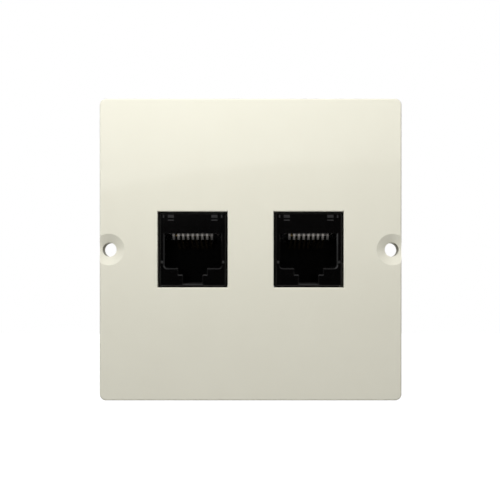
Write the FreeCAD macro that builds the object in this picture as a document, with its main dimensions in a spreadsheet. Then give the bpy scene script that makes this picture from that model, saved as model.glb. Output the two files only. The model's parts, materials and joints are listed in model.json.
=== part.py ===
import FreeCAD, Part
import os
import Sketcher
from FreeCAD import Vector

# Double network wall socket: a moulded face plate with two snap-in eight-way jacks.
# +X to the right seen from the front, +Y into the wall, +Z up.
# The origin is the middle of the plate's rear rim, which lies on the wall.

SIZES = {
    # The face plate
    "plate_depth": (4.0, "front face to the rear rim"),
    "front_wall": (2.0, "thickness of the front wall"),
    "rim_wall": (1.6, "thickness of the rim"),
    "corner_radius": (1.4, "corners of the plate seen from the front"),
    "edge_radius": (0.4, "rounded edge round the front face"),
    "screw_spacing": (60.3, "distance between the two screw holes"),
    "screw_edge": (2.0, "middle of a screw hole to the plate's edge"),
    "bore_radius": (1.5, "screw hole"),
    "cone_flare": (1.85, "width of the countersink's slope"),
    "cone_depth": (0.9, "depth of the countersink"),
    "boss_reach": (5.2, "screw hole to the boss's side"),
    "boss_flat": (0.8, "straight part of the boss beside a rounded corner"),
    "rib_wall": (1.0, "thickness of the stiffening ribs"),
    "rib_drop": (0.6, "how far the ribs stay below the rim"),
    "rib_spacing": (11.0, "distance between upright ribs"),
    "cross_rib_height": (20.0, "middle of the plate to a cross rib"),
    "ejector_radius": (1.5, "round marks that the mould's ejector pins leave"),
    "ejector_depth": (0.15, "depth of the ejector marks"),
    "ejector_rise": (5.5, "cross rib to the middle of an ejector mark"),
    # The two ports in the plate
    "port_spacing": (24.7, "distance between the middles of the two ports"),
    "port_lip": (0.3, "rounded front edge of the port"),
    "collar_wall": (1.4, "walls of the collar behind a port"),
    "collar_bevel": (0.4, "bevel round the collar's rear end"),
    "hook_seat_depth": (6.5, "front face to the step that the fixed hook rests on"),
    "hook_slot": (1.9, "length of the recess for the fixed hook"),
    "hook_stop_wall": (1.6, "thickness of the stop behind the hook"),
    "hook_room": (2.1, "depth of the recess for the fixed hook"),
    "hook_stop_drop": (0.6, "bottom of the port down to the stop behind the hook"),
    "latch_stop_wall": (2.0, "thickness of the stop that the latch snaps behind"),
    "latch_stop_rise": (1.25, "top of the port up to the latch stop"),
    "latch_headroom": (0.55, "room over the latch"),
    "stop_ramp": (1.0, "slope on the latch stop that presses the latch down"),
    # The jack housing
    "jack_recess": (0.3, "front of the plate to the front of the jack"),
    "jack_gap": (0.3, "gap over and under the jack in its port"),
    "side_gap": (0.25, "gap at each side of the jack in its port"),
    "guide_gap": (0.1, "gap beside the shoulder and the key rib in the port"),
    "key_rib_recess": (0.3, "front of the jack to the key rib on its right side"),
    "key_rib_drop": (2.8, "middle of the jack down to the foot of the key rib"),
    "jack_side_wall": (1.2, "housing wall beside the plug cavity"),
    "nose_step": (0.4, "shoulder to the end of the full-height front"),
    "face_chamfer": (0.33, "bevel at the sides of the jack's face"),
    "face_bevel": (0.1, "bevel at the top and bottom of the jack's face"),
    "plug_width": (11.97, "width of the plug cavity"),
    "plug_floor_drop": (3.83, "middle of the jack down to the cavity floor"),
    "plug_roof_rise": (3.47, "middle of the jack up to the cavity roof"),
    "plug_depth": (12.4, "depth of the plug cavity"),
    "cavity_wall": (1.6, "wall between the plug cavity and the circuit board"),
    "cavity_corner": (0.45, "rounded lower corners of the plug cavity"),
    "tab_width": (6.2, "width of the slot for the plug's locking tab"),
    "tab_step_drop": (1.35, "cavity floor down to the tab catches"),
    "tab_mouth_width": (4.2, "gap between the two tab catches"),
    "tab_floor_wall": (0.5, "housing wall under the tab slot"),
    "tab_catch_wall": (1.4, "thickness of the tab catches"),
    "cavity_chamfer": (0.28, "lead-in bevel of the plug cavity"),
    "floor_chamfer": (0.2, "lead-in bevel of the tab slot's floor"),
    "hook_gap": (0.2, "gap behind the fixed hook"),
    "hook_clearance": (0.2, "gap under the fixed hook"),
    "latch_width": (8.6, "width of the latch arm"),
    "latch_wall": (1.4, "thickness of the latch arm"),
    "latch_gap": (0.2, "gap between the arm and the latch stop above it"),
    "latch_play": (0.1, "gap between the latch and the stop behind it"),
    "latch_rise": (1.5, "height of the latch on its arm"),
    "latch_ramp": (3.0, "length of the latch"),
    "latch_crest": (0.7, "flat top of the latch behind its ramp"),
    "latch_flex": (1.3, "room under the arm for it to bend"),
    "latch_root": (1.6, "thickness of the shoulder that the latch arm grows from"),
    "latch_tail": (1.8, "free end of the arm to the rear of the housing"),
    "finger_length": (1.4, "length of the finger ridge on the arm"),
    "finger_rise": (0.7, "height of the finger ridge"),
    "tooth_length": (1.4, "length of a snap tooth"),
    "tooth_height": (3.0, "height of a snap tooth"),
    "tooth_depth": (0.7, "how far a snap tooth stands out"),
    "mark_rise": (0.12, "how far the marks stand out of the jack's face"),
    "mark_inset": (2.55, "side of the jack to the middle of a raised pad"),
    "mark_drop": (0.68, "top of the jack down to the middle of a raised pad"),
    "mark_width": (1.3, "width of a raised pad"),
    "mark_tall": (0.6, "height of a raised pad"),
    "rib_mark_drop": (1.5, "top of the jack down to the thin ribs under the pads"),
    "rib_mark_tall": (0.22, "thickness of the thin ribs"),
    "edge_mark_inset": (1.0, "side of the jack to the upright ribs on its face"),
    "edge_mark_width": (0.3, "thickness of the upright ribs"),
    "nub_inset": (0.68, "side of the jack to the middle of a nub"),
    "nub_side": (0.5, "width and height of the two nubs beside the cavity"),
    "nub_rise": (1.15, "cavity floor up to the middle of a nub"),
    # The contact carrier with its comb
    "carrier_front": (0.6, "front of the jack to the carrier's floor"),
    "comb_front": (0.2, "front of the jack to the comb's bar"),
    "comb_bar": (0.9, "thickness of the comb's front bar"),
    "comb_bar_drop": (0.55, "cavity roof down to the underside of the bar"),
    "comb_teeth_drop": (1.32, "cavity roof down to the tips of the teeth"),
    "comb_rake": (0.5, "how far the fronts of the teeth slope back"),
    "comb_depth": (3.2, "depth of the comb's teeth"),
    "carrier_side_wall": (0.9, "carrier's wall beside the outer contacts"),
    "carrier_wall": (1.6, "thickness of the carrier's floor"),
    "carrier_roof_wall": (0.83, "housing wall over the carrier"),
    "groove_depth": (0.5, "depth of the contact grooves"),
    "contact_pitch": (1.016, "distance between contacts"),
    "contact_slot": (0.5, "width of a contact's slot"),
    # The spring contacts
    "contact_width": (0.4, "width of a contact"),
    "contact_wall": (0.35, "thickness of a contact"),
    "contact_nose": (0.25, "gap between the comb's bar and a contact"),
    "contact_drop": (0.6, "cavity roof down to the contact's bend"),
    "contact_tip_rise": (0.6, "middle of the jack up to a contact's tip"),
    "contact_tip_gap": (2.6, "contact's tip to the rear of the plug cavity"),
    "bend_radius": (0.3, "inner radius of a contact's bends"),
    # The circuit board
    "board_seat": (2.0, "depth of the pocket in the housing's rear"),
    "board_wall": (1.2, "thickness of the circuit board"),
    "board_side_wall": (0.5, "housing wall beside the board"),
    "board_floor_wall": (1.15, "housing wall under the board"),
    "board_roof_wall": (0.5, "housing wall over the board"),
    "board_gap": (0.1, "gap round the board"),
    "pin_gap": (0.1, "gap round a contact or a terminal's tail in the board"),
    # The terminal block
    "block_end": (2.35, "end of the terminal block to the middle of its first wire slot"),
    "block_base": (2.0, "thickness of the block's base"),
    "tower_depth": (9.5, "length of the towers that hold the terminals"),
    "tower_wall": (5.2, "thickness of a tower"),
    "tower_tip": (1.0, "bevel at a tower's tip"),
    "wire_spacing": (3.5, "distance between wire slots"),
    "wire_slot": (0.8, "width of a wire slot"),
    "wire_slot_foot": (2.0, "block's base to the foot of a wire slot"),
    "wire_mouth": (1.8, "width of a wire slot's mouth"),
    "wire_mouth_depth": (1.2, "depth of a wire slot's mouth"),
    "blade_gap": (0.05, "gap round a terminal in its pocket"),
    "arm_wall": (1.2, "thickness of the snap arms"),
    "arm_gap": (0.1, "gap between the snap arms and the housing"),
    "arm_height": (5.4, "height of a snap arm"),
    "arm_room": (1.7, "collar's rear end to the tips of the snap arms"),
    "arm_tip": (0.8, "tip of a snap arm to the snap tooth in its window"),
    "arm_lead_in": (0.5, "bevel inside the snap arms' tips"),
    "window_gap": (0.15, "gap round a snap tooth in its window"),
    # The terminals
    "blade_width": (2.2, "width of a terminal"),
    "blade_wall": (0.5, "thickness of a terminal"),
    "blade_seat": (0.3, "depth of a terminal's shoulder in the block's base"),
    "blade_cover": (1.9, "tower's tip down to the tip of a terminal"),
    "blade_tail": (0.6, "width of a terminal's tail"),
    "blade_slit": (0.34, "width of the slit that grips a wire"),
    "blade_mouth": (0.9, "width of the slit's mouth"),
    "blade_mouth_depth": (0.7, "depth of the slit's mouth"),
    "blade_shoulder": (0.5, "bevel at a terminal's tip"),
}
CONTACTS = 8
TERMINAL_ROWS = 4
PORTS = 2
RIBS = 5
CUT_OVER = 1.0   # how far a cut runs past the surface that it opens


class Size:
    """A length that knows its value now and the sheet formula that it comes from."""

    def __init__(self, formula, value):
        self.formula = formula
        self.value = value

    def join(self, sign, other, value):
        text = other.formula if isinstance(other, Size) else repr(other)
        return Size(f"({self.formula} {sign} {text})", value)

    def __add__(self, other):
        return self.join("+", other, self.value + number(other))

    def __sub__(self, other):
        return self.join("-", other, self.value - number(other))

    def __mul__(self, other):
        return self.join("*", other, self.value * number(other))

    def __truediv__(self, other):
        return self.join("/", other, self.value / number(other))

    def __neg__(self):
        return self * -1


def number(length):
    return length.value if isinstance(length, Size) else length


def make_sheet(document):
    """Fill the spreadsheet, and return each of its cells as a Size."""
    sheet = document.addObject("Spreadsheet::Sheet", "Sizes")
    cells = {}
    for row, (alias, (millimetres, meaning)) in enumerate(SIZES.items(), start=1):
        sheet.set(f"A{row}", meaning)
        sheet.set(f"B{row}", str(millimetres))
        sheet.setAlias(f"B{row}", alias)
        cells[alias] = Size(f"Sizes.{alias}", millimetres)
    document.recompute()
    return cells


class Sizes:
    """Gives each cell of the sheet as an attribute, such as size.plate_depth."""

    def __init__(self, cells):
        self.__dict__.update(cells)


doc = FreeCAD.newDocument("wall_socket")
size = Sizes(make_sheet(doc))
sub_parts = []


# Helpers for bodies, sketches and features

def bind(target, attribute, length):
    """Set a property, and tie it to the sheet where it comes from there."""
    if isinstance(length, Size):
        target.setExpression(attribute, length.formula)
    else:
        setattr(target, attribute, length)


def new_body(label, x=0.0, y=0.0, z=0.0):
    """Start a sub-part whose own frame stands at the given place."""
    body = doc.addObject("PartDesign::Body", label)
    body.Label = label
    body.Placement = FreeCAD.Placement(Vector(number(x), number(y), number(z)), FreeCAD.Rotation())
    for axis, length in (("x", x), ("y", y), ("z", z)):
        if isinstance(length, Size):
            body.setExpression(f"Placement.Base.{axis}", length.formula)
    sub_parts.append(body)
    return body


def origin_plane(body, role):
    return next(item for item in body.Origin.OriginFeatures if item.Role == role)


def new_sketch(body, name, role, offset=0.0):
    """Start a sketch on an origin plane, moved along that plane's normal.

    On XZ_Plane the sketch runs along +X and +Z and its normal is -Y, on YZ_Plane it runs along
    +Y and +Z and its normal is +X, and on XY_Plane it runs along +X and +Y.
    """
    sketch = body.newObject("Sketcher::SketchObject", name)
    sketch.AttachmentSupport = [(origin_plane(body, role), "")]
    sketch.MapMode = "FlatFace"
    if isinstance(offset, Size):
        sketch.setExpression("AttachmentOffset.Base.z", offset.formula)
    else:
        sketch.AttachmentOffset = FreeCAD.Placement(Vector(0, 0, offset), FreeCAD.Rotation())
    return sketch


def tie(sketch, kind, edge, end, length):
    """Hold one coordinate of an edge's end at a length from the sketch's origin."""
    index = sketch.addConstraint(Sketcher.Constraint(kind, edge, end, number(length)))
    if isinstance(length, Size):
        sketch.setExpression(f"Constraints[{index}]", length.formula)


def draw_outline(sketch, corners):
    """Draw a closed outline of straight lines, and tie each corner to its two lengths."""
    first = sketch.GeometryCount
    count = len(corners)
    places = [Vector(number(across), number(up), 0) for across, up in corners]
    for index in range(count):
        line = Part.LineSegment(places[index], places[(index + 1) % count])
        sketch.addGeometry(line, False)
    for index, (across, up) in enumerate(corners):
        edge = first + index
        before = first + (index - 1) % count
        sketch.addConstraint(Sketcher.Constraint("Coincident", before, 2, edge, 1))
        tie(sketch, "DistanceX", edge, 1, across)
        tie(sketch, "DistanceY", edge, 1, up)


def draw_box(sketch, left, right, bottom, top):
    draw_outline(sketch, [(left, bottom), (right, bottom), (right, top), (left, top)])


def draw_circle(sketch, across, up, radius):
    centre = Vector(number(across), number(up), 0)
    circle = sketch.addGeometry(Part.Circle(centre, Vector(0, 0, 1), number(radius)), False)
    tie(sketch, "DistanceX", circle, 3, across)
    tie(sketch, "DistanceY", circle, 3, up)
    index = sketch.addConstraint(Sketcher.Constraint("Radius", circle, number(radius)))
    sketch.setExpression(f"Constraints[{index}]", radius.formula)


def mirrored_outline(corners):
    """Add the mirror image of the corners, which run along one side of the upright axis."""
    return corners + [(-across, up) for across, up in reversed(corners)]


def add_feature(body, kind, name, sketch, length, reverse=False, both_ways=False):
    feature = body.newObject(kind, name)
    feature.Profile = sketch
    bind(feature, "Length", length)
    feature.Reversed = reverse
    if both_ways:
        feature.SideType = "Symmetric"
    doc.recompute()
    return feature


def pad(body, name, sketch, length, reverse=False, both_ways=False):
    """Raise a sketch along its plane's normal, or the other way when reverse is set."""
    return add_feature(body, "PartDesign::Pad", name, sketch, length, reverse, both_ways)


def pocket(body, name, sketch, length, reverse=False, both_ways=False):
    """Cut a sketch against its plane's normal, or along it when reverse is set."""
    before = body.Shape.Volume
    feature = add_feature(body, "PartDesign::Pocket", name, sketch, length, reverse, both_ways)
    if not feature.Shape.Volume < before:
        raise ValueError(f"{body.Label}: {name} cuts nothing")
    return feature


def turned_cut(body, name, section):
    """Turn a section about its first edge, and cut the result away."""
    feature = body.newObject("PartDesign::Groove", name)
    feature.Profile = section
    feature.ReferenceAxis = (section, ["Edge1"])
    feature.Angle = 360.0
    doc.recompute()
    return feature


def mirror(body, name, features, role):
    feature = body.newObject("PartDesign::Mirrored", name)
    feature.Originals = features
    feature.MirrorPlane = (origin_plane(body, role), [""])
    body.Tip = feature
    doc.recompute()
    return feature


def repeat(body, name, features, role, spacing, count):
    """Repeat features along one of the body's origin axes."""
    feature = body.newObject("PartDesign::LinearPattern", name)
    feature.Originals = features
    feature.Direction = (origin_plane(body, role), [""])
    bind(feature, "Length", spacing * (count - 1))
    feature.Occurrences = count
    body.Tip = feature
    doc.recompute()
    return feature


def edges_where(feature, wanted):
    """Name the straight edges for which wanted(middle, direction) is true."""
    names = []
    for index, edge in enumerate(feature.Shape.Edges, start=1):
        if isinstance(edge.Curve, Part.Line):
            start = edge.Vertexes[0].Point
            end = edge.Vertexes[-1].Point
            if wanted((start + end) * 0.5, (end - start).normalize()):
                names.append(f"Edge{index}")
    return names


def near(value, length, slack=0.001):
    return abs(value - number(length)) < slack


def dress(body, kind, name, base, wanted, attribute, length):
    """Round or bevel the wanted edges of a feature."""
    names = edges_where(base, wanted)
    if not names:
        raise ValueError(f"{body.Label}: {name} finds no edge")
    feature = body.newObject(kind, name)
    feature.Base = (base, names)
    bind(feature, attribute, length)
    doc.recompute()
    return feature


def fillet(body, name, base, wanted, radius):
    return dress(body, "PartDesign::Fillet", name, base, wanted, "Radius", radius)


def chamfer(body, name, base, wanted, width):
    return dress(body, "PartDesign::Chamfer", name, base, wanted, "Size", width)


# Places that more than one sub-part uses

front = -size.plate_depth
half_side = size.screw_spacing / 2 + size.screw_edge
port_x = size.port_spacing / 2
jack_front = size.jack_recess - size.plate_depth

# Across one jack, from the plug cavity outwards
half_plug = size.plug_width / 2
half_jack_width = half_plug + size.jack_side_wall
half_port_width = half_jack_width + size.side_gap
half_board = half_jack_width - size.board_side_wall
arm_inside = half_jack_width + size.arm_gap
half_block = arm_inside + size.arm_wall
tower_middle = half_block - size.tower_wall / 2
half_comb = (size.contact_pitch * CONTACTS + size.contact_slot) / 2
half_carrier = half_comb + size.carrier_side_wall
first_contact = -size.contact_pitch * (CONTACTS - 1) / 2

# Upwards in one jack, from the plug cavity to the latch over it
plug_floor = -size.plug_floor_drop
plug_roof = size.plug_roof_rise
contact_floor = plug_roof + size.carrier_wall
carrier_top = contact_floor + size.groove_depth
rear_roof = carrier_top + size.carrier_roof_wall
arm_bottom = rear_roof + size.latch_flex
arm_top = arm_bottom + size.latch_wall
latch_stop_height = arm_top + size.latch_gap
half_port_height = latch_stop_height - size.latch_stop_rise
half_jack_height = half_port_height - size.jack_gap
tab_step = plug_floor - size.tab_step_drop
tab_floor = size.tab_floor_wall - half_jack_height
board_bottom = size.board_floor_wall - half_jack_height
board_top = rear_roof - size.board_roof_wall
first_wire = -size.wire_spacing * (TERMINAL_ROWS - 1) / 2
half_block_height = size.block_end - first_wire

# Into the wall, from the front of the plate
collar_depth = size.hook_seat_depth + size.hook_slot + size.hook_stop_wall
latch_stop_depth = collar_depth - size.latch_stop_wall

# Into the wall, from the front of one jack
board_front = size.plug_depth + size.cavity_wall
board_rear = board_front + size.board_wall
jack_depth = board_front + size.board_seat
arm_front = collar_depth - size.jack_recess + size.arm_room
tooth_front = arm_front + size.arm_tip
tooth_rear = tooth_front + size.tooth_length
root_front = size.front_wall - size.jack_recess
root_rear = root_front + size.latch_root
base_rear = jack_depth + size.block_base
tower_rear = base_rear + size.tower_depth
wire_slot_front = base_rear + size.wire_slot_foot
blade_front = base_rear - size.blade_seat


# The face plate

def add_ports(plate):
    """Raise a collar behind each port and cut the keyed passage through it."""
    reach = half_port_width + size.collar_wall
    sill = half_port_height + size.hook_room
    ceiling = arm_top + size.latch_rise + size.latch_headroom
    wall_rear = front + size.front_wall
    collar_rear = front + collar_depth
    hook_seat = front + size.hook_seat_depth
    latch_stop = front + latch_stop_depth
    collar_bottom = -sill - size.collar_wall
    collar_top = ceiling + size.collar_wall

    block = new_sketch(plate, "CollarSketch", "YZ_Plane", -port_x)
    draw_box(block, wall_rear, collar_rear, collar_bottom, collar_top)
    collar = pad(plate, "Collar", block, reach * 2, both_ways=True)

    keyway = new_sketch(plate, "PassageSketch", "YZ_Plane", -port_x)
    draw_outline(keyway, [
        (front - CUT_OVER, -half_port_height),
        (hook_seat, -half_port_height),
        (hook_seat, -sill),
        (hook_seat + size.hook_slot, -sill),
        (hook_seat + size.hook_slot, -half_port_height - size.hook_stop_drop),
        (collar_rear + CUT_OVER, -half_port_height - size.hook_stop_drop),
        (collar_rear + CUT_OVER, latch_stop_height + size.stop_ramp + CUT_OVER),
        (collar_rear - size.stop_ramp, latch_stop_height),
        (latch_stop, latch_stop_height),
        (latch_stop, ceiling),
        (wall_rear, ceiling),
        (wall_rear, half_port_height),
        (front - CUT_OVER, half_port_height),
    ])
    passage = pocket(plate, "Passage", keyway, half_port_width * 2, both_ways=True)
    ports = repeat(plate, "Ports", [collar, passage], "X_Axis", size.port_spacing, PORTS)

    lips = fillet(
        plate, "PortLips", ports,
        lambda at, way: near(at.y, front) and (
            near(abs(at.z), half_port_height) or near(abs(abs(at.x) - number(port_x)), half_port_width)
        ),
        size.port_lip,
    )
    chamfer(
        plate, "CollarBevel", lips,
        lambda at, way: near(at.y, collar_rear) and (
            near(at.z, collar_bottom) or near(at.z, collar_top)
            or near(abs(abs(at.x) - number(port_x)), reach)
        ),
        size.collar_bevel,
    )


def add_bosses(plate):
    """Fill a boss behind each screw hole, rounded towards the middle of the plate."""
    boss_side = size.screw_spacing / 2 - size.boss_reach
    outline = new_sketch(plate, "BossSketch", "XZ_Plane")
    draw_box(outline, boss_side, half_side - size.rim_wall / 2, -size.boss_reach, size.boss_reach)
    boss = pad(plate, "Boss", outline, size.plate_depth - size.front_wall / 2)
    bosses = mirror(plate, "Bosses", [boss], "YZ_Plane")
    fillet(
        plate, "BossCorners", bosses,
        lambda at, way: near(abs(way.y), 1.0) and near(abs(at.x), boss_side),
        size.boss_reach - size.boss_flat,
    )


def cut_screw_holes(plate):
    """Turn the two countersunk holes."""
    middle = size.screw_spacing / 2
    cone = size.bore_radius + size.cone_flare
    section = new_sketch(plate, "HoleSection", "XY_Plane")
    draw_outline(section, [
        (middle, CUT_OVER),
        (middle, front - CUT_OVER),
        (middle + cone, front - CUT_OVER),
        (middle + cone, front),
        (middle + size.bore_radius, front + size.cone_depth),
        (middle + size.bore_radius, CUT_OVER),
    ])
    hole = turned_cut(plate, "ScrewHole", section)
    mirror(plate, "ScrewHoles", [hole], "YZ_Plane")


def add_ejector_marks(plate):
    """Sink the round marks of the mould's ejector pins into the rear of the front wall."""
    across = size.rib_spacing + size.rib_spacing / 2
    height = size.cross_rib_height + size.ejector_rise
    marks = new_sketch(plate, "EjectorSketch", "XZ_Plane", size.plate_depth - size.front_wall)
    for side in (-1, 1):
        for level in (-1, 1):
            draw_circle(marks, across * side, height * level, size.ejector_radius)
    pocket(plate, "EjectorMarks", marks, size.ejector_depth, reverse=True)


def add_ribs(plate):
    """Stiffen the plate with upright ribs and two cross ribs, all a little below the rim."""
    height = size.plate_depth - size.front_wall / 2 - size.rib_drop
    reach = half_side - size.rim_wall / 2
    half_rib = size.rib_wall / 2
    first = -size.rib_spacing * (RIBS - 1) / 2

    upright = new_sketch(plate, "RibSketch", "XZ_Plane", size.rib_drop)
    draw_box(upright, first - half_rib, first + half_rib, -reach, reach)
    rib = pad(plate, "Rib", upright, height)
    repeat(plate, "Ribs", [rib], "X_Axis", size.rib_spacing, RIBS)

    level = new_sketch(plate, "CrossRibSketch", "XZ_Plane", size.rib_drop)
    middle = size.cross_rib_height
    draw_box(level, -reach, reach, middle - half_rib, middle + half_rib)
    cross_rib = pad(plate, "CrossRib", level, height)
    mirror(plate, "CrossRibs", [cross_rib], "XY_Plane")


def build_face_plate():
    plate = new_body("face_plate")
    outline = new_sketch(plate, "PlateSketch", "XZ_Plane")
    draw_box(outline, -half_side, half_side, -half_side, half_side)
    slab = pad(plate, "Slab", outline, size.plate_depth)
    corners = fillet(
        plate, "Corners", slab,
        lambda at, way: near(abs(way.y), 1.0), size.corner_radius,
    )
    fillet(
        plate, "FaceEdge", corners,
        lambda at, way: near(at.y, front), size.edge_radius,
    )

    half_hollow = half_side - size.rim_wall
    hollow = new_sketch(plate, "HollowSketch", "XZ_Plane")
    draw_box(hollow, -half_hollow, half_hollow, -half_hollow, half_hollow)
    pocket(plate, "Hollow", hollow, size.plate_depth - size.front_wall, reverse=True)

    add_bosses(plate)
    add_ribs(plate)
    add_ports(plate)
    cut_screw_holes(plate)
    add_ejector_marks(plate)


# The jack housing

def jack_body(label, side, across=0.0):
    """Start a sub-part of one jack, whose own frame stands at the middle of the jack's face."""
    return new_body(label, port_x * side + across, jack_front)


def add_latch(housing):
    """Add the springy arm that snaps behind the stop over the port."""
    latch_rear = latch_stop_depth - size.jack_recess - size.latch_play
    latch_front = latch_rear - size.latch_ramp
    arm_rear = jack_depth - size.latch_tail
    finger_front = arm_rear - size.finger_length

    side_view = new_sketch(housing, "LatchSketch", "YZ_Plane")
    draw_outline(side_view, [
        (root_front, half_jack_height - size.latch_wall),
        (root_rear, half_jack_height - size.latch_wall),
        (root_rear, arm_bottom),
        (arm_rear, arm_bottom),
        (arm_rear, arm_top + size.finger_rise),
        (finger_front, arm_top + size.finger_rise),
        (finger_front, arm_top),
        (latch_rear, arm_top),
        (latch_rear, arm_top + size.latch_rise),
        (latch_rear - size.latch_crest, arm_top + size.latch_rise),
        (latch_front, arm_top),
        (root_front, arm_top),
    ])
    pad(housing, "Latch", side_view, size.latch_width, both_ways=True)


def cut_plug_cavity(housing):
    """Cut the stepped mouth, then the wider room behind the two tab catches."""
    half_tab = size.tab_width / 2
    half_mouth = size.tab_mouth_width / 2

    mouth = new_sketch(housing, "MouthSketch", "XZ_Plane")
    draw_outline(mouth, mirrored_outline([
        (half_mouth, tab_floor),
        (half_mouth, tab_step),
        (half_tab, tab_step),
        (half_tab, plug_floor),
        (half_plug, plug_floor),
        (half_plug, plug_roof),
    ]))
    pocket(housing, "Mouth", mouth, size.tab_catch_wall)

    room = new_sketch(housing, "RoomSketch", "XZ_Plane", -size.tab_catch_wall)
    draw_outline(room, mirrored_outline([
        (half_tab, tab_floor),
        (half_tab, plug_floor),
        (half_plug, plug_floor),
        (half_plug, plug_roof),
    ]))
    room_cut = pocket(housing, "Room", room, size.plug_depth - size.tab_catch_wall)

    corners = fillet(
        housing, "CavityCorners", room_cut,
        lambda at, way: near(abs(way.y), 1.0) and near(abs(at.x), half_plug) and near(at.z, plug_floor),
        size.cavity_corner,
    )
    lead_in = chamfer(
        housing, "LeadIn", corners,
        lambda at, way: near(at.y, 0.0) and (
            near(at.z, plug_floor) or near(at.z, tab_step)
            or near(abs(at.x), half_plug)
        ),
        size.cavity_chamfer,
    )
    chamfer(
        housing, "FloorLeadIn", lead_in,
        lambda at, way: near(at.y, 0.0) and near(at.z, tab_floor),
        size.floor_chamfer,
    )


def add_face_marks(housing):
    """Raise the small plain pads, ribs and nubs on the jack's face."""
    pad_height = half_jack_height - size.mark_drop
    shapes = [
        (size.mark_inset, pad_height, size.mark_width, size.mark_tall),
        (size.mark_inset, half_jack_height - size.rib_mark_drop, size.mark_width, size.rib_mark_tall),
        (size.edge_mark_inset, pad_height, size.edge_mark_width, size.mark_tall),
        (size.nub_inset, plug_floor + size.nub_rise, size.nub_side, size.nub_side),
    ]
    marks = new_sketch(housing, "MarkSketch", "XZ_Plane")
    for inset, level, width, tall in shapes:
        for side in (-1, 1):
            middle = (half_jack_width - inset) * side
            draw_box(marks, middle - width / 2, middle + width / 2, level - tall / 2, level + tall / 2)
    pad(housing, "Marks", marks, size.mark_rise)


def add_teeth(housing):
    """Add the ramped tooth on each side that the terminal block's arms snap over."""
    teeth = new_sketch(housing, "ToothSketch", "XY_Plane")
    for side in (-1, 1):
        draw_outline(teeth, [
            ((half_jack_width - size.tooth_depth) * side, tooth_front),
            ((half_jack_width + size.tooth_depth) * side, tooth_front),
            (half_jack_width * side, tooth_rear),
            ((half_jack_width - size.tooth_depth) * side, tooth_rear),
        ])
    pad(housing, "Teeth", teeth, size.tooth_height, both_ways=True)


def add_guides(housing):
    """Widen the jack behind the front wall, and add the key rib along its right side."""
    reach = half_port_width - size.guide_gap
    shoulder = new_sketch(housing, "ShoulderSketch", "YZ_Plane")
    draw_box(shoulder, root_front, root_rear, -half_jack_height, arm_top)
    pad(housing, "Shoulder", shoulder, reach * 2, both_ways=True)

    key_rib = new_sketch(housing, "KeyRibSketch", "YZ_Plane")
    draw_box(key_rib, size.key_rib_recess, root_rear, -size.key_rib_drop, half_jack_height)
    pad(housing, "KeyRib", key_rib, reach)


def build_jack_housing(label, side):
    housing = jack_body(label, side)
    hook_front = size.hook_seat_depth - size.jack_recess
    hook_rear = hook_front + size.hook_slot - size.hook_gap
    hook_bottom = size.hook_clearance - half_port_height - size.hook_room
    nose_rear = root_rear + size.nose_step

    side_view = new_sketch(housing, "BodySketch", "YZ_Plane")
    draw_outline(side_view, [
        (0.0, -half_jack_height),
        (hook_front, -half_jack_height),
        (hook_front, hook_bottom),
        (hook_rear, hook_bottom),
        (hook_rear, -half_jack_height),
        (jack_depth, -half_jack_height),
        (jack_depth, rear_roof),
        (nose_rear, rear_roof),
        (nose_rear, half_jack_height),
        (0.0, half_jack_height),
    ])
    block = pad(housing, "Block", side_view, half_jack_width * 2, both_ways=True)
    sides = chamfer(
        housing, "FaceSides", block,
        lambda at, way: near(at.y, 0.0) and near(abs(way.z), 1.0), size.face_chamfer,
    )
    chamfer(
        housing, "FaceBevel", sides,
        lambda at, way: near(at.y, 0.0) and near(abs(way.x), 1.0) and near(abs(at.z), half_jack_height),
        size.face_bevel,
    )
    add_guides(housing)
    cut_plug_cavity(housing)
    add_latch(housing)

    seat = new_sketch(housing, "BoardSeatSketch", "XZ_Plane", -jack_depth)
    draw_box(seat, -half_board, half_board, board_bottom, board_top)
    pocket(housing, "BoardSeat", seat, size.board_seat, reverse=True)

    slot = new_sketch(housing, "CarrierSlotSketch", "XZ_Plane", -size.carrier_front)
    draw_box(slot, -half_carrier, half_carrier, plug_roof, carrier_top)
    pocket(housing, "CarrierSlot", slot, board_front - size.carrier_front)

    add_teeth(housing)
    add_face_marks(housing)


# The contact carrier and the contacts

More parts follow.
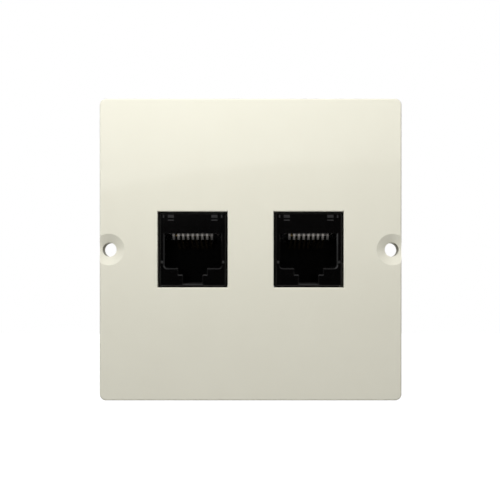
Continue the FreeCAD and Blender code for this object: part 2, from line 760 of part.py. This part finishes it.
def build_contact_carrier(label, side):
    carrier = jack_body(label, side)
    comb_rear = size.comb_front + size.comb_depth
    comb_bottom = plug_roof - size.comb_teeth_drop
    bar_bottom = plug_roof - size.comb_bar_drop
    bar_rear = size.comb_front + size.comb_bar

    floor_view = new_sketch(carrier, "FloorSketch", "YZ_Plane")
    draw_box(floor_view, size.carrier_front, board_front, plug_roof, carrier_top)
    pad(carrier, "Floor", floor_view, half_carrier * 2, both_ways=True)

    comb_view = new_sketch(carrier, "CombSketch", "YZ_Plane")
    draw_outline(comb_view, [
        (size.comb_front, bar_bottom),
        (size.comb_front + size.comb_rake, comb_bottom),
        (size.comb_front + size.comb_depth / 2, comb_bottom),
        (comb_rear, plug_roof),
        (size.comb_front, plug_roof),
    ])
    pad(carrier, "Comb", comb_view, half_comb * 2, both_ways=True)

    channel = new_sketch(carrier, "ChannelSketch", "YZ_Plane", first_contact)
    draw_outline(channel, [
        (size.comb_front - CUT_OVER, comb_bottom - CUT_OVER),
        (size.comb_front - CUT_OVER, bar_bottom),
        (bar_rear, bar_bottom),
        (bar_rear, carrier_top + CUT_OVER),
        (board_front + CUT_OVER, carrier_top + CUT_OVER),
        (board_front + CUT_OVER, contact_floor),
        (comb_rear - size.bend_radius, contact_floor),
        (comb_rear - size.bend_radius, plug_roof),
        (comb_rear + size.bend_radius, plug_roof),
        (comb_rear + size.bend_radius, comb_bottom - CUT_OVER),
    ])
    cut = pocket(carrier, "Channel", channel, size.contact_slot, both_ways=True)
    repeat(carrier, "Channels", [cut], "X_Axis", size.contact_pitch, CONTACTS)

    half_slot = size.contact_slot / 2
    end_slot = new_sketch(carrier, "EndSlotSketch", "XZ_Plane", -bar_rear)
    draw_box(end_slot, first_contact - half_slot, first_contact + half_slot, bar_bottom - CUT_OVER, plug_roof)
    pocket(carrier, "EndSlot", end_slot, size.comb_bar + CUT_OVER, reverse=True)


def build_contact(label, side, index):
    """Make a flat spring from the circuit board over the carrier and down into the cavity."""
    contact = jack_body(label, side, first_contact + size.contact_pitch * index)
    wall = size.contact_wall
    nose = size.comb_front + size.comb_bar + size.contact_nose
    bend = plug_roof - size.contact_drop
    tip = size.contact_tip_rise
    tip_depth = size.plug_depth - size.contact_tip_gap

    side_view = new_sketch(contact, "SpringSketch", "YZ_Plane")
    draw_outline(side_view, [
        (board_rear, contact_floor),
        (board_rear, contact_floor + wall),
        (nose, contact_floor + wall),
        (nose, bend),
        (tip_depth, tip),
        (tip_depth, tip + wall),
        (nose + wall, bend + wall),
        (nose + wall, contact_floor),
    ])
    strip = pad(contact, "Strip", side_view, size.contact_width, both_ways=True)
    outer = fillet(
        contact, "OuterBends", strip,
        lambda at, way: near(abs(way.x), 1.0) and near(at.y, nose),
        size.bend_radius + wall,
    )
    fillet(
        contact, "InnerBends", outer,
        lambda at, way: near(abs(way.x), 1.0) and near(at.y, nose + wall),
        size.bend_radius,
    )


# The circuit board

def build_circuit_board(label, side):
    board = jack_body(label, side)
    edge = half_board - size.board_gap
    outline = new_sketch(board, "BoardSketch", "XZ_Plane", -board_front)
    draw_box(outline, -edge, edge, board_bottom + size.board_gap, board_top - size.board_gap)
    pad(board, "Board", outline, size.board_wall, reverse=True)

    half_hole = size.contact_width / 2 + size.pin_gap
    contact_view = new_sketch(board, "ContactHoleSketch", "XZ_Plane", -board_front)
    draw_box(
        contact_view, first_contact - half_hole, first_contact + half_hole,
        contact_floor - size.pin_gap, contact_floor + size.contact_wall + size.pin_gap,
    )
    contact_hole = pocket(board, "ContactHole", contact_view, size.board_wall)
    repeat(board, "ContactHoles", [contact_hole], "X_Axis", size.contact_pitch, CONTACTS)

    half_wall = size.blade_wall / 2 + size.pin_gap
    half_tail = size.blade_tail / 2 + size.pin_gap
    tail_view = new_sketch(board, "TailHoleSketch", "XZ_Plane", -board_front)
    for middle in (tower_middle, -tower_middle):
        draw_box(
            tail_view, middle - half_wall, middle + half_wall,
            first_wire - half_tail, first_wire + half_tail,
        )
    tail_hole = pocket(board, "TailHole", tail_view, size.board_wall)
    repeat(board, "TailHoles", [tail_hole], "Z_Axis", size.wire_spacing, TERMINAL_ROWS)


# The terminal block and the terminals

def add_towers(block):
    """Raise two towers with pointed tips, and cut the wire slots and terminal pockets."""
    inside = half_block - size.tower_wall
    outline = new_sketch(block, "TowerSketch", "XZ_Plane", -base_rear)
    draw_box(outline, inside, half_block, -half_block_height, half_block_height)
    draw_box(outline, -half_block, -inside, -half_block_height, half_block_height)
    towers = pad(block, "Towers", outline, size.tower_depth, reverse=True)
    chamfer(
        block, "TowerTips", towers,
        lambda at, way: near(at.y, tower_rear) and near(abs(way.z), 1.0), size.tower_tip,
    )

    half_slot = size.wire_slot / 2
    half_mouth = size.wire_mouth / 2
    mouth_end = tower_rear - size.wire_mouth_depth
    slot_view = new_sketch(block, "WireSlotSketch", "YZ_Plane")
    draw_outline(slot_view, [
        (tower_rear + CUT_OVER, first_wire - half_mouth),
        (tower_rear, first_wire - half_mouth),
        (mouth_end, first_wire - half_slot),
        (wire_slot_front, first_wire - half_slot),
        (wire_slot_front, first_wire + half_slot),
        (mouth_end, first_wire + half_slot),
        (tower_rear, first_wire + half_mouth),
        (tower_rear + CUT_OVER, first_wire + half_mouth),
    ])
    wire_slot = pocket(block, "WireSlot", slot_view, half_block * 2 + CUT_OVER, both_ways=True)

    half_wall = size.blade_wall / 2 + size.blade_gap
    half_blade = size.blade_width / 2 + size.blade_gap
    half_tail = size.blade_tail / 2 + size.blade_gap
    pockets = new_sketch(block, "BladePocketSketch", "XZ_Plane", -tower_rear)
    tails = new_sketch(block, "TailHoleSketch", "XZ_Plane", -tower_rear)
    for middle in (tower_middle, -tower_middle):
        draw_box(
            pockets, middle - half_wall, middle + half_wall,
            first_wire - half_blade, first_wire + half_blade,
        )
        draw_box(
            tails, middle - half_wall, middle + half_wall,
            first_wire - half_tail, first_wire + half_tail,
        )
    blade_pocket = pocket(
        block, "BladePocket", pockets, size.tower_depth + size.blade_seat, reverse=True)
    tail_hole = pocket(
        block, "TailHole", tails, tower_rear - board_rear + CUT_OVER, reverse=True)
    cuts = [wire_slot, blade_pocket, tail_hole]
    repeat(block, "TerminalRows", cuts, "Z_Axis", size.wire_spacing, TERMINAL_ROWS)


def build_terminal_block(label, side):
    block = jack_body(label, side)
    outline = new_sketch(block, "BaseSketch", "XZ_Plane", -jack_depth)
    draw_box(outline, -half_block, half_block, -half_block_height, half_block_height)
    pad(block, "Base", outline, size.block_base, reverse=True)

    edge = half_board - size.board_gap
    spigot = new_sketch(block, "SpigotSketch", "XZ_Plane", -jack_depth)
    draw_box(spigot, -edge, edge, board_bottom + size.board_gap, board_top - size.board_gap)
    pad(block, "Spigot", spigot, jack_depth - board_rear)

    half_arm = size.arm_height / 2
    arms = new_sketch(block, "ArmSketch", "XZ_Plane", -jack_depth)
    draw_box(arms, arm_inside, half_block, -half_arm, half_arm)
    draw_box(arms, -half_block, -arm_inside, -half_arm, half_arm)
    arm_pad = pad(block, "Arms", arms, jack_depth - arm_front)
    chamfer(
        block, "ArmLeadIn", arm_pad,
        lambda at, way: near(at.y, arm_front) and near(abs(at.x), arm_inside) and near(abs(way.z), 1.0),
        size.arm_lead_in,
    )

    half_window = size.tooth_height / 2 + size.window_gap
    window = new_sketch(block, "WindowSketch", "YZ_Plane")
    draw_box(window, tooth_front - size.window_gap, tooth_rear + size.window_gap, -half_window, half_window)
    pocket(block, "Windows", window, half_block * 2 + CUT_OVER, both_ways=True)
    add_towers(block)


def build_terminal(label, side, column, row):
    """Make a forked blade whose slit grips a wire in its slot."""
    blade = jack_body(label, side, tower_middle * column)
    shoulder = blade_front
    tip = tower_rear - size.blade_cover
    half_blade = size.blade_width / 2
    half_tail = size.blade_tail / 2
    half_slit = size.blade_slit / 2
    middle = first_wire + size.wire_spacing * row

    outline = new_sketch(blade, "BladeSketch", "YZ_Plane")
    lower = [
        (board_front, half_tail),
        (shoulder, half_tail),
        (shoulder, half_blade),
        (tip - size.blade_shoulder, half_blade),
        (tip, half_blade - size.blade_shoulder),
        (tip, size.blade_mouth / 2),
        (tip - size.blade_mouth_depth, half_slit),
        (wire_slot_front, half_slit),
    ]
    corners = [(along, middle - across) for along, across in lower]
    corners += [(along, middle + across) for along, across in reversed(lower)]
    draw_outline(outline, corners)
    pad(blade, "Blade", outline, size.blade_wall, both_ways=True)


build_face_plate()
for name, side in (("left", -1), ("right", 1)):
    build_jack_housing(f"{name}_jack_housing", side)
    build_contact_carrier(f"{name}_contact_carrier", side)
    for index in range(CONTACTS):
        build_contact(f"{name}_contact_{index + 1}", side, index)
    build_circuit_board(f"{name}_circuit_board", side)
    build_terminal_block(f"{name}_terminal_block", side)
    for column in (-1, 1):
        for row in range(TERMINAL_ROWS):
            count = row + 1 + (TERMINAL_ROWS if column > 0 else 0)
            build_terminal(f"{name}_terminal_{count}", side, column, row)

# Every sub-part is checked before it is written

doc.recompute()
for item in doc.Objects:
    if "Invalid" in item.State or "Error" in item.State:
        raise ValueError(f"{item.Name} failed: {item.State}")
os.makedirs("parts", exist_ok=True)
for body in sub_parts:
    shape = body.Shape
    if shape.isNull() or not shape.isValid():
        raise ValueError(f"{body.Label} has no valid shape")
    shape.exportStep(f"parts/{body.Label}.step")
    print(body.Label, len(shape.Solids), round(shape.Volume, 2), shape.BoundBox)
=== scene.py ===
import json
import math

import bpy
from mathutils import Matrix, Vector


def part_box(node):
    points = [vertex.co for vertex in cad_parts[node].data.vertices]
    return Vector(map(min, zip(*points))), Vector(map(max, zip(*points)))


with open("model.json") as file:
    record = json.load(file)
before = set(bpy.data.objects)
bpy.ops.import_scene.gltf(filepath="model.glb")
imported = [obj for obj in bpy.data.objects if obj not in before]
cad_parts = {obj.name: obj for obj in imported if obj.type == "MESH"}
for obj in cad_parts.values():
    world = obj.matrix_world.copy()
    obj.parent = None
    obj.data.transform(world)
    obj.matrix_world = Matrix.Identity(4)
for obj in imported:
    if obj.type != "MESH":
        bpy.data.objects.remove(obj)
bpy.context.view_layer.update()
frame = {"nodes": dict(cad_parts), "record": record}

MM = 0.001

# The photograph: 500 x 500 pixels, square on to the plate
PIXELS = 500
PIXELS_PER_MM = 4.704
PLATE_CENTRE_PX = (250.65, 249.5)
CAMERA_DISTANCE = 170 * MM       # from the plate's front face
CAMERA_DROP = 7 * MM             # the camera is a little under the plate's middle
SENSOR = 36.0

# The studio: how bright its parts are in reflections, where 1 is white
DARK_ROOM = 0.008
CEILING = 0.8
CEILING_RIGHT = 0.56             # the ceiling is dimmer towards the right
CEILING_EDGE = 0.148             # how high its front edge is seen
CEILING_EDGE_BLUR = 0.0015
CEILING_CREST = 0.07             # from here towards the left the edge bows down
CEILING_BOW = 0.61
CEILING_BOW_WIDTH = 0.4
RIGHT_WALL = 0.25
LEFT_WALL = 0.3
FILL = 0.12                      # even light from all round
FLOOR_DROP = 83 * MM             # below the plate's lower edge
HALF_FLOOR = 1.5
FLOOR_GLOW_NEAR = 0.5            # its own light near the object, where the shadow shows

# The plastics
PLASTIC_IOR = 1.5
JACK_IOR = 1.58
MOTTLE_MM = 9.0                  # size of the faint clouds in their colour
EDGE_SAMPLES = 8                 # rays that look for an edge or a crevice

plate_low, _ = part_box("face_plate")
FRONT = plate_low.y
JACK_FACE = FRONT + 0.3 * MM     # the jacks stand this far back in the plate
PORT = 12.35 * MM                # from the plate's middle to that of each jack
CONTACT_PITCH = 1.016 * MM
CONTACT_ROOTS = 2.4 * MM         # above this the contacts' colour is darkened: painted shade behind the comb


# Materials

class NodeTree:
    """A short way to wire up nodes."""

    def __init__(self, tree):
        self.tree = tree

    def node(self, kind, inputs=None, **settings):
        """Add a node, with a value or another node's socket for each of its inputs."""
        made = self.tree.nodes.new(kind)
        for key, value in settings.items():
            setattr(made, key, value)
        for key, value in (inputs or {}).items():
            self.put(made, key, value)
        return made

    def put(self, node, key, value):
        """Link a socket to a node's input, or write a value there."""
        if isinstance(value, bpy.types.NodeSocket):
            self.tree.links.new(value, node.inputs[key])
        else:
            node.inputs[key].default_value = value

    def ramp(self, value, start, end, low, high, kind="SMOOTHSTEP"):
        """A number that runs smoothly from low to high as value runs from start to end."""
        made = self.node(
            "ShaderNodeMapRange",
            {"Value": value, "From Min": start, "From Max": end, "To Min": low, "To Max": high},
            interpolation_type=kind,
        )
        return made.outputs["Result"]

    def combine(self, operation, first, second=0.0):
        """The result of one Math operation, of which some take only the first number."""
        made = self.node("ShaderNodeMath", {0: first, 1: second}, operation=operation)
        return made.outputs["Value"]

    def larger(self, first, second):
        """The larger of two numbers."""
        return self.combine("MAXIMUM", first, second)


class Shader(NodeTree):
    """One node material."""

    def __init__(self, name):
        self.material = bpy.data.materials.new(name)
        self.material.use_nodes = True
        super().__init__(self.material.node_tree)
        self.surface = self.tree.nodes["Principled BSDF"]
        self.place = self.node("ShaderNodeTexCoord").outputs["Object"]

    def set(self, **values):
        """Set inputs of the surface, named with _ for each space."""
        for key, value in values.items():
            self.put(self.surface, key.replace("_", " "), value)

    def noise(self, size_mm, detail=2.0):
        """Noise whose features are about size_mm across, from 0 to 1."""
        made = self.node(
            "ShaderNodeTexNoise",
            {"Vector": self.place, "Scale": 1 / (size_mm * MM), "Detail": detail},
        )
        return made.outputs["Fac"]

    def blend(self, factor, low, high):
        """A colour that runs from low to high as factor runs from 0.3 to 0.7."""
        ramp = self.node("ShaderNodeValToRGB", {"Fac": factor})
        ramp.color_ramp.elements[0].position = 0.3
        ramp.color_ramp.elements[1].position = 0.7
        ramp.color_ramp.elements[0].color = (*low, 1)
        ramp.color_ramp.elements[1].color = (*high, 1)
        return ramp.outputs["Color"]

    def axes(self):
        """The X, Y and Z of the point that is shaded, in metres."""
        return self.node("ShaderNodeSeparateXYZ", {"Vector": self.place}).outputs

    def mix_colour(self, factor, first, second):
        """A colour that runs from first to second as factor runs from 0 to 1."""
        inputs = {"Fac": factor, "Color1": first, "Color2": (*second, 1)}
        return self.node("ShaderNodeMixRGB", inputs).outputs["Color"]

    def darken(self, colour, shade):
        """The colour times the number shade."""
        made = self.node("ShaderNodeVectorMath", {0: colour, "Scale": shade}, operation="SCALE")
        return made.outputs["Vector"]

    def level(self, factor, low, high):
        """A number that runs from low to high as factor runs from 0.3 to 0.7."""
        made = self.node(
            "ShaderNodeMapRange",
            {"Value": factor, "From Min": 0.3, "From Max": 0.7, "To Min": low, "To Max": high},
        )
        return made.outputs["Result"]

    def bump(self, height, depth_mm, edge=None):
        """Fine relief, and with edge, a radius, edges that catch the light as if so rounded."""
        inputs = {"Height": height, "Distance": depth_mm * MM}
        if edge is not None:
            rounded = self.node("ShaderNodeBevel", {"Radius": edge}, samples=EDGE_SAMPLES)
            inputs["Normal"] = rounded.outputs["Normal"]
        made = self.node("ShaderNodeBump", inputs)
        self.put(self.surface, "Normal", made.outputs["Normal"])


def moulded_plastic(name, low, high, roughness, grain_mm, grain_depth_mm, painted_shade_and_dulling_mm=0.0):
    """Moulded plastic: a faint mottle in its colour and gloss, a fine skin, and in crevices painted
    shade and a duller gloss.
    """
    shader = Shader(name)
    cloud = shader.noise(MOTTLE_MM, detail=3.0)
    grain = shader.noise(grain_mm)
    colour = shader.blend(cloud, low, high)
    dullness = shader.level(grain, 0.8 * roughness, 1.2 * roughness)
    if painted_shade_and_dulling_mm:
        occlusion = shader.node(
            "ShaderNodeAmbientOcclusion", {"Distance": painted_shade_and_dulling_mm * MM}, samples=EDGE_SAMPLES)
        openness = occlusion.outputs["AO"]
        # Painted shade: the colour darkens in crevices, recesses and bores, where shade falls.
        colour = shader.darken(colour, shader.ramp(openness, 0.4, 1.0, 0.5, 1.0))
        dullness = shader.larger(dullness, shader.ramp(openness, 0.4, 0.8, 0.8, 0.0))
    shader.set(
        Base_Color=colour,
        Roughness=dullness,
        IOR=PLASTIC_IOR,
    )
    shader.bump(grain, grain_depth_mm)
    return shader.material


def jack_plastic(name):
    """Glossy black plastic, a little paler and duller on the raised marks of the jack's face."""
    shader = Shader(name)
    place = shader.axes()
    raised = shader.ramp(place["Y"], JACK_FACE - 0.02 * MM, JACK_FACE - 0.08 * MM, 0.0, 1.0)
    edge_radius = shader.ramp(place["Z"], -3.0 * MM, -5.2 * MM, 0.04 * MM, 0.24 * MM)
    cloud = shader.noise(MOTTLE_MM, detail=3.0)
    grain = shader.noise(0.25)
    black = shader.blend(cloud, (0.0010, 0.0009, 0.0009), (0.0018, 0.0016, 0.0016))
    gloss = shader.level(grain, 0.08, 0.13)
    shader.set(
        Base_Color=shader.mix_colour(raised, black, (0.013, 0.0125, 0.0125)),
        Roughness=shader.larger(gloss, shader.combine("MULTIPLY", raised, 0.4)),
        IOR=JACK_IOR,
    )
    shader.bump(grain, 0.001, edge_radius)
    return shader.material


def comb_plastic(name):
    """Satin grey plastic, with painted shade between the teeth of each comb, towards their tips and
    on the end teeth.
    """
    shader = Shader(name)
    place = shader.axes()
    from_middle = shader.combine("SUBTRACT", shader.combine("ABSOLUTE", place["X"]), PORT)
    angle = shader.combine("MULTIPLY", from_middle, 2 * math.pi / CONTACT_PITCH)
    # Painted shade: darker in the slots between the teeth, towards their tips and on the end teeth,
    # where shade falls.
    painted_slot_shade = shader.ramp(shader.combine("COSINE", angle), -0.4, 0.8, 0.15, 1.0)
    painted_tip_shade = shader.ramp(place["Z"], 3.1 * MM, 2.2 * MM, 1.0, 0.35)
    sideways = shader.combine("ABSOLUTE", from_middle)
    painted_end_tooth_shade = shader.ramp(sideways, 3.4 * MM, 4.0 * MM, 1.0, 0.5)
    shade = shader.combine("MULTIPLY", painted_slot_shade, shader.combine("MULTIPLY", painted_tip_shade, painted_end_tooth_shade))
    grain = shader.noise(0.2)
    cloud = shader.noise(MOTTLE_MM, detail=3.0)
    grey = shader.blend(cloud, (0.24, 0.225, 0.21), (0.28, 0.262, 0.245))
    shader.set(
        Base_Color=shader.darken(grey, shade),
        Roughness=shader.level(grain, 0.36, 0.44),
        IOR=PLASTIC_IOR,
    )
    shader.bump(grain, 0.003)
    return shader.material


def plated_metal(name, low, high, roughness, streak_mm, painted_shade_above=None):
    """Plated strip: fine streaks along its rolling direction, and painted shade above a height."""
    shader = Shader(name)
    streaks = shader.noise(streak_mm, detail=3.0)
    colour = shader.blend(streaks, low, high)
    if painted_shade_above is not None:
        # Painted shade: the colour darkens above that height, where the contacts run into shade
        # behind the comb.
        height = shader.axes()["Z"]
        shade = shader.ramp(height, painted_shade_above, painted_shade_above + 0.4 * MM, 1.0, 0.2)
        colour = shader.darken(colour, shade)
    shader.set(
        Base_Color=colour,
        Metallic=1.0,
        Roughness=shader.level(streaks, roughness - 0.06, roughness + 0.06),
    )
    shader.bump(streaks, 0.004)
    return shader.material


def board_lacquer(name):
    """Green solder mask over faint copper tracks."""
    shader = Shader(name)
    wave = shader.node(
        "ShaderNodeTexWave",
        {"Vector": shader.place, "Scale": 260.0, "Distortion": 2.0, "Detail": 1.0},
    )
    tracks = wave.outputs["Fac"]
    shader.set(
        Base_Color=shader.blend(tracks, (0.012, 0.11, 0.045), (0.03, 0.19, 0.08)),
        Roughness=0.28,
    )
    shader.bump(tracks, 0.02)
    return shader.material


MATERIALS = {
    "plate": moulded_plastic(
        "cream_plastic", low=(0.907, 0.884, 0.750), high=(0.920, 0.898, 0.764),
        roughness=0.04, grain_mm=0.35, grain_depth_mm=0.0001, painted_shade_and_dulling_mm=6.0),
    "housing": jack_plastic("black_plastic"),
    "carrier": comb_plastic("grey_plastic"),
    "block": moulded_plastic(
        "black_block_plastic", low=(0.010, 0.010, 0.011), high=(0.016, 0.016, 0.017),
        roughness=0.42, grain_mm=0.25, grain_depth_mm=0.006),
    "contact": plated_metal(
        "gold_plating", low=(0.62, 0.43, 0.17), high=(0.76, 0.56, 0.25),
        roughness=0.14, streak_mm=0.3, painted_shade_above=CONTACT_ROOTS),
    "terminal": plated_metal(
        "tin_plating", low=(0.58, 0.57, 0.55), high=(0.72, 0.71, 0.68),
        roughness=0.33, streak_mm=0.35),
    "board": board_lacquer("green_lacquer"),
}


def dress_cad_nodes():
    """Give every CAD node its node material, and smooth shading within each of its faces."""
    slots = {part["node"]: part["material_slot"] for part in frame["record"]["subparts"]}
    for name, item in frame["nodes"].items():
        item.data.materials.clear()
        item.data.materials.append(MATERIALS[slots[name]])
        item.data.shade_smooth()


dress_cad_nodes()


# The room, the lights and the camera

class Room(NodeTree):
    """The world's nodes: a strength for each direction that is looked in."""

    def __init__(self, name):
        world = bpy.data.worlds.new(name)
        bpy.context.scene.world = world
        world.use_nodes = True
        super().__init__(world.node_tree)
        self.tree.nodes.clear()
        direction = self.node("ShaderNodeTexCoord").outputs["Generated"]
        self.direction = self.node("ShaderNodeSeparateXYZ", {"Vector": direction}).outputs
        self.rays = self.node("ShaderNodeLightPath").outputs

    def background(self, strength):
        """White light of a strength."""
        inputs = {"Color": (1, 1, 1, 1), "Strength": strength}
        return self.node("ShaderNodeBackground", inputs).outputs["Background"]

    def mix(self, factor, first, second):
        """The light that runs from first to second as factor runs from 0 to 1."""
        mixed = self.node("ShaderNodeMixShader", {"Fac": factor, 1: first, 2: second})
        return mixed.outputs["Shader"]


def make_ceiling(room):
    """How bright the ceiling is in each direction, with a front edge that bows down to the left."""
    across = room.direction["X"]
    past_crest = room.ramp(
        across, CEILING_CREST, CEILING_CREST - CEILING_BOW_WIDTH, 0.0, CEILING_BOW_WIDTH, "LINEAR")
    bow = room.combine("MULTIPLY", room.combine("MULTIPLY", past_crest, past_crest), CEILING_BOW)
    height = room.combine("ADD", room.direction["Z"], bow)
    edge_low, edge_high = CEILING_EDGE - CEILING_EDGE_BLUR, CEILING_EDGE + CEILING_EDGE_BLUR
    over_edge = room.ramp(height, edge_low, edge_high, 0.0, 1.0)
    return room.combine("MULTIPLY", over_edge, room.ramp(across, 0.0, 0.2, CEILING, CEILING_RIGHT))


def make_world():
    """White for the camera, a plain studio for reflections, and a dim even fill."""
    room = Room("Studio")
    backdrop = room.ramp(room.direction["Y"], -0.1, 0.3, DARK_ROOM, 1.0)
    right_wall = room.ramp(room.direction["X"], 0.5, 0.8, DARK_ROOM, RIGHT_WALL)
    left_wall = room.ramp(room.direction["X"], -0.5, -0.8, DARK_ROOM, LEFT_WALL)
    walls = room.larger(right_wall, left_wall)
    studio = room.larger(room.larger(make_ceiling(room), backdrop), walls)

    seen = room.larger(room.rays["Is Camera Ray"], room.rays["Is Transmission Ray"])
    lit = room.mix(room.rays["Is Glossy Ray"], room.background(FILL), room.background(studio))
    whole = room.mix(seen, lit, room.background(1.0))
    room.node("ShaderNodeOutputWorld", {"Surface": whole})


def make_floor():
    """A plain pale floor under the object, pale enough to meet the white background."""
    mesh = bpy.data.meshes.new("floor")
    level = plate_low.z - FLOOR_DROP
    sides = [(-1, -1), (1, -1), (1, 1), (-1, 1)]
    corners = [(x * HALF_FLOOR, y * HALF_FLOOR, level) for x, y in sides]
    mesh.from_pydata(corners, [], [(0, 1, 2, 3)])
    floor = bpy.data.objects.new("floor", mesh)
    bpy.context.scene.collection.objects.link(floor)

    shader = Shader("pale_floor")
    speck = shader.noise(4.0, detail=2.0)
    length = shader.node("ShaderNodeVectorMath", {0: shader.place}, operation="LENGTH")
    glow = shader.ramp(length.outputs["Value"], 0.15, 0.30, FLOOR_GLOW_NEAR, 1.0)
    behind = shader.ramp(shader.axes()["Y"], 0.2, 0.5, 0.0, 1.0)
    rays = shader.node("ShaderNodeLightPath").outputs
    mirrored = shader.combine("MULTIPLY", behind, rays["Is Glossy Ray"])
    seen = shader.larger(rays["Is Camera Ray"], mirrored)
    shader.set(
        Base_Color=shader.blend(speck, (0.78, 0.78, 0.77), (0.84, 0.84, 0.83)),
        Roughness=0.9,
        Emission_Color=(1, 1, 1, 1),
        Emission_Strength=shader.combine("MULTIPLY", glow, seen),
    )
    mesh.materials.append(shader.material)


def add_area_light(name, place, aim, width, height, power):
    """Add an oval lamp that gives no glint of its own: what shows in gloss is the studio."""
    data = bpy.data.lights.new(name, "AREA")
    data.shape = "ELLIPSE"
    data.size = width
    data.size_y = height
    data.energy = power
    light = bpy.data.objects.new(name, data)
    light.visible_glossy = False
    light.visible_camera = False
    light.location = place
    light.rotation_euler = (Vector(aim) - Vector(place)).to_track_quat("-Z", "Y").to_euler()
    bpy.context.scene.collection.objects.link(light)


def make_lights():
    """A near key lamp over the front, whose light falls off down the plate, and one behind."""
    add_area_light(
        "key", place=(-0.021, FRONT - 0.112, 0.114), aim=(0, FRONT, 0),
        width=0.26, height=0.10, power=0.302)
    add_area_light(
        "rear_fill", place=(0, 0.40, 0.12), aim=(0, 0, 0),
        width=0.25, height=0.25, power=1.1)


def make_camera():
    """Set the camera square on, so that the plate lands on the photograph's pixels."""
    data = bpy.data.cameras.new("camera")
    data.sensor_width = SENSOR
    field = PIXELS / PIXELS_PER_MM * MM
    data.lens = SENSOR * CAMERA_DISTANCE / field
    data.shift_x = (PIXELS / 2 - PLATE_CENTRE_PX[0]) / PIXELS
    data.shift_y = (PLATE_CENTRE_PX[1] - PIXELS / 2) / PIXELS + CAMERA_DROP / field
    data.clip_start = 0.01
    data.clip_end = 10
    camera = bpy.data.objects.new("camera", data)
    camera.location = (0, FRONT - CAMERA_DISTANCE, -CAMERA_DROP)
    camera.rotation_euler = (math.radians(90), 0, 0)
    bpy.context.scene.collection.objects.link(camera)
    bpy.context.scene.camera = camera


make_world()
make_floor()
make_lights()
make_camera()
bpy.context.scene.view_settings.view_transform = "Standard"
